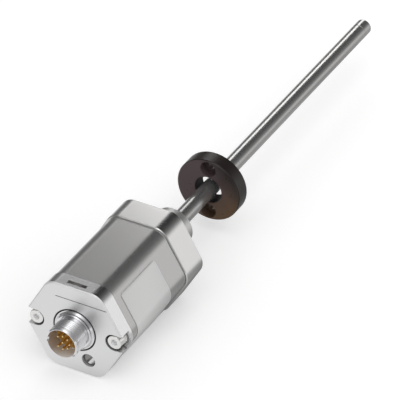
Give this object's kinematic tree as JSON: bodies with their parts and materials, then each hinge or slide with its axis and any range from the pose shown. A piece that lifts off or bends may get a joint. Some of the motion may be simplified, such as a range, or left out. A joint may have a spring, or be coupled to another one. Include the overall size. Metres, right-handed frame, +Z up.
{
  "type": "magnetostrictive position sensor",
  "caption": "Rod-style magnetostrictive position sensor: hexagonal head with a round multi-pin connector, smooth spigot, closed measuring rod and a sliding ring magnet.",
  "frame": {"origin": "centre of the spigot at the hexagonal flange's seating face", "axes": "+Y along the measuring rod towards its tip, +Z up with two flats of the hexagonal head level"},
  "size_m": [0.0514, 0.2923, 0.0466],
  "materials": {
    "cap_aluminium": "fine satin, matt nickel on machined aluminium",
    "profile_aluminium": "satin anodised extrusion",
    "flange_steel": "fine turned and milled stainless steel",
    "rod_steel": "polished stainless tube",
    "screw_steel": "bright stainless fasteners",
    "connector_nickel": "bright nickel plate on turned brass",
    "insulator_amber": "amber moulded insulator",
    "contact_gold": "gold plate",
    "anchor_brass": "plain turned brass",
    "seal_rubber": "matt black rubber",
    "board_green": "green solder mask",
    "chip_black": "black moulded package",
    "capacitor_can": "drawn aluminium can",
    "lamp_clear": "clear moulded lamp",
    "guide_smoked": "dark smoked clear plastic",
    "flex_amber": "amber film",
    "nameplate_film": "bare silver plate",
    "carrier_plastic": "black glass-filled plastic",
    "bobbin_plastic": "natural moulded plastic",
    "copper_wire": "enamelled copper",
    "waveguide_alloy": "drawn nickel-iron alloy",
    "sleeve_plastic": "white extruded tube",
    "magnet_sintered": "sintered ferrite",
    "magnet_compound": "dark moulded ferrite compound"
  },
  "bodies": {
    "sensor": {"end_cap": "cap_aluminium", "housing_profile": "profile_aluminium", "mounting_flange": "flange_steel", "sensor_rod": "rod_steel", "rod_end_plug": "rod_steel", "cap_screws": "screw_steel", "spring_washers": "screw_steel", "plain_washers": "screw_steel", "earth_screw": "screw_steel", "connector_shell": "connector_nickel", "connector_nut": "connector_nickel", "connector_insert": "insulator_amber", "contact_pins": "contact_gold", "element_pins": "contact_gold", "waveguide_anchor": "anchor_brass", "cap_gasket": "seal_rubber", "flange_gasket": "seal_rubber", "flange_o_ring": "seal_rubber", "connector_seal": "seal_rubber", "damper": "seal_rubber", "upper_board": "board_green", "lower_board": "board_green", "lamp_board": "board_green", "connector_board": "board_green", "processor_chip": "chip_black", "voltage_regulator": "chip_black", "pulse_transformer": "chip_black", "capacitors": "capacitor_can", "status_lamps": "lamp_clear", "light_guide": "guide_smoked", "flex_link": "flex_amber", "nameplate": "nameplate_film", "element_carrier": "carrier_plastic", "coil_bobbin": "bobbin_plastic", "pickup_coil": "copper_wire", "return_wire": "copper_wire", "waveguide": "waveguide_alloy", "strain_tape": "waveguide_alloy", "waveguide_sleeve": "sleeve_plastic", "bias_magnet": "magnet_sintered"},
    "magnet": {"position_magnet": "magnet_compound"}
  },
  "joints": [
    {"name": "magnet_travel", "type": "slide", "parent": "sensor", "child": "magnet", "axis": [0, 1, 0], "range_m": [0, 0.1]}
  ]
}
